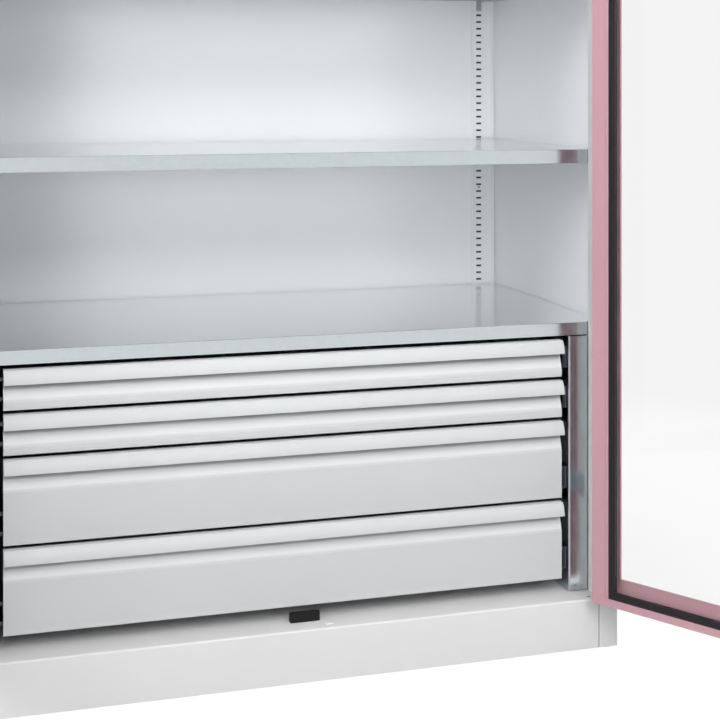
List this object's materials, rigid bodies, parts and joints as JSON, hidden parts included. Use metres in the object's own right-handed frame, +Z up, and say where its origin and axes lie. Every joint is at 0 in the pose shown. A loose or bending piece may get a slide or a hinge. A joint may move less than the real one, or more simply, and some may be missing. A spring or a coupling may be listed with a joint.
{
  "type": "storage cabinet",
  "caption": "Tall sheet-steel storage cabinet with glazed double doors, adjustable shelves and a bank of shallow drawers on telescopic runners.",
  "frame": {"origin": "on the floor at the centre of the cabinet's footprint, doors left out", "axes": "+Z up, -Y out of the open front, +X to the right of someone facing the front"},
  "size_m": [1.6827, 1.1305, 1.95],
  "materials": {
    "carcass_paint": "smooth light grey powder coat",
    "drawer_paint": "smooth pale grey powder coat",
    "door_paint": "smooth dusty rose powder coat",
    "galvanised_steel": "bright galvanised sheet, softly mirrored",
    "zinc_hardware": "zinc plated",
    "satin_nickel": "satin nickel",
    "black_seal": "black extruded profile, low sheen",
    "black_rubber": "black moulded rubber",
    "clear_pane": "clear acrylic sheet, polished"
  },
  "bodies": {
    "carcass": {"back_panel": "carcass_paint", "base_panel": "carcass_paint", "drawer_cover_shelf": "galvanised_steel", "foot_plates": "zinc_hardware", "hinge_pins_left": "zinc_hardware", "hinge_pins_right": "zinc_hardware", "housing_braces": "galvanised_steel", "housing_side_left": "galvanised_steel", "housing_side_right": "galvanised_steel", "levelling_feet": "zinc_hardware", "outer_runners": "zinc_hardware", "rear_rail_left": "carcass_paint", "rear_rail_right": "carcass_paint", "rubber_stop": "black_rubber", "shelf_clips_lower": "zinc_hardware", "shelf_clips_middle": "zinc_hardware", "shelf_clips_upper": "zinc_hardware", "shelf_lower": "galvanised_steel", "shelf_middle": "galvanised_steel", "shelf_upper": "galvanised_steel", "side_panel_left": "carcass_paint", "side_panel_right": "carcass_paint", "top_panel": "carcass_paint"},
    "door_right": {"door_right_shell": "door_paint", "door_right_inner_frame": "door_paint", "door_right_window_seal": "black_seal", "door_right_window_pane": "clear_pane", "hinge_leaves_right": "zinc_hardware", "lock_case": "zinc_hardware", "lever_rosette": "satin_nickel", "lock_rod_guides": "black_seal"},
    "door_left": {"door_left_shell": "door_paint", "door_left_inner_frame": "door_paint", "door_left_window_seal": "black_seal", "door_left_window_pane": "clear_pane", "hinge_leaves_left": "zinc_hardware", "door_left_overlap_strip": "door_paint"},
    "lever": {"lever_handle": "satin_nickel", "lock_pinion": "zinc_hardware"},
    "key_plug": {"lock_cylinder_plug": "satin_nickel"},
    "rod_lower": {"lock_rod_lower": "zinc_hardware"},
    "rod_upper": {"lock_rod_upper": "zinc_hardware"},
    "drawer_1": {"drawer_1_front": "drawer_paint", "drawer_1_box": "drawer_paint", "drawer_1_inner_runners": "zinc_hardware"},
    "drawer_1_middle": {"drawer_1_middle_runners": "zinc_hardware"},
    "drawer_2": {"drawer_2_front": "drawer_paint", "drawer_2_box": "drawer_paint", "drawer_2_inner_runners": "zinc_hardware"},
    "drawer_2_middle": {"drawer_2_middle_runners": "zinc_hardware"},
    "drawer_3": {"drawer_3_front": "drawer_paint", "drawer_3_box": "drawer_paint", "drawer_3_inner_runners": "zinc_hardware"},
    "drawer_3_middle": {"drawer_3_middle_runners": "zinc_hardware"},
    "drawer_4": {"drawer_4_front": "drawer_paint", "drawer_4_box": "drawer_paint", "drawer_4_inner_runners": "zinc_hardware"},
    "drawer_4_middle": {"drawer_4_middle_runners": "zinc_hardware"}
  },
  "joints": [
    {"name": "door_right_hinge", "type": "hinge", "parent": "carcass", "child": "door_right", "pos_m": [0.5605, -0.305, 1], "axis": [0, 0, 1], "range_deg": [-120, 0]},
    {"name": "door_left_hinge", "type": "hinge", "parent": "carcass", "child": "door_left", "pos_m": [-0.5605, -0.305, 1], "axis": [0, 0, -1], "range_deg": [-120, 0]},
    {"name": "lever_turn", "type": "hinge", "parent": "door_right", "child": "lever", "pos_m": [0.83618, -0.7345, 1.05], "axis": [-0.866, -0.5, 0], "range_deg": [0, 90]},
    {"name": "key_turn", "type": "hinge", "parent": "lever", "child": "key_plug", "pos_m": [0.83618, -0.7345, 1.05], "axis": [-0.866, -0.5, 0], "range_deg": [0, 90]},
    {"name": "rod_lower_slide", "type": "slide", "parent": "door_right", "child": "rod_lower", "axis": [0, 0, -1], "range_m": [0, 0.016]},
    {"name": "rod_upper_slide", "type": "slide", "parent": "door_right", "child": "rod_upper", "axis": [0, 0, 1], "range_m": [0, 0.016]},
    {"name": "drawer_1_slide", "type": "slide", "parent": "carcass", "child": "drawer_1", "axis": [0, -1, 0], "range_m": [0, 0.45]},
    {"name": "drawer_1_middle_slide", "type": "slide", "parent": "carcass", "child": "drawer_1_middle", "axis": [0, -1, 0], "range_m": [0, 0.225]},
    {"name": "drawer_2_slide", "type": "slide", "parent": "carcass", "child": "drawer_2", "axis": [0, -1, 0], "range_m": [0, 0.45]},
    {"name": "drawer_2_middle_slide", "type": "slide", "parent": "carcass", "child": "drawer_2_middle", "axis": [0, -1, 0], "range_m": [0, 0.225]},
    {"name": "drawer_3_slide", "type": "slide", "parent": "carcass", "child": "drawer_3", "axis": [0, -1, 0], "range_m": [0, 0.45]},
    {"name": "drawer_3_middle_slide", "type": "slide", "parent": "carcass", "child": "drawer_3_middle", "axis": [0, -1, 0], "range_m": [0, 0.225]},
    {"name": "drawer_4_slide", "type": "slide", "parent": "carcass", "child": "drawer_4", "axis": [0, -1, 0], "range_m": [0, 0.45]},
    {"name": "drawer_4_middle_slide", "type": "slide", "parent": "carcass", "child": "drawer_4_middle", "axis": [0, -1, 0], "range_m": [0, 0.225]}
  ],
  "couplings": [
    {"joint": "rod_lower_slide", "follows": "lever_turn", "m_per_rad": 0.010186},
    {"joint": "rod_upper_slide", "follows": "lever_turn", "m_per_rad": 0.010186},
    {"joint": "drawer_1_middle_slide", "follows": "drawer_1_slide", "ratio": 0.5},
    {"joint": "drawer_2_middle_slide", "follows": "drawer_2_slide", "ratio": 0.5},
    {"joint": "drawer_3_middle_slide", "follows": "drawer_3_slide", "ratio": 0.5},
    {"joint": "drawer_4_middle_slide", "follows": "drawer_4_slide", "ratio": 0.5}
  ]
}
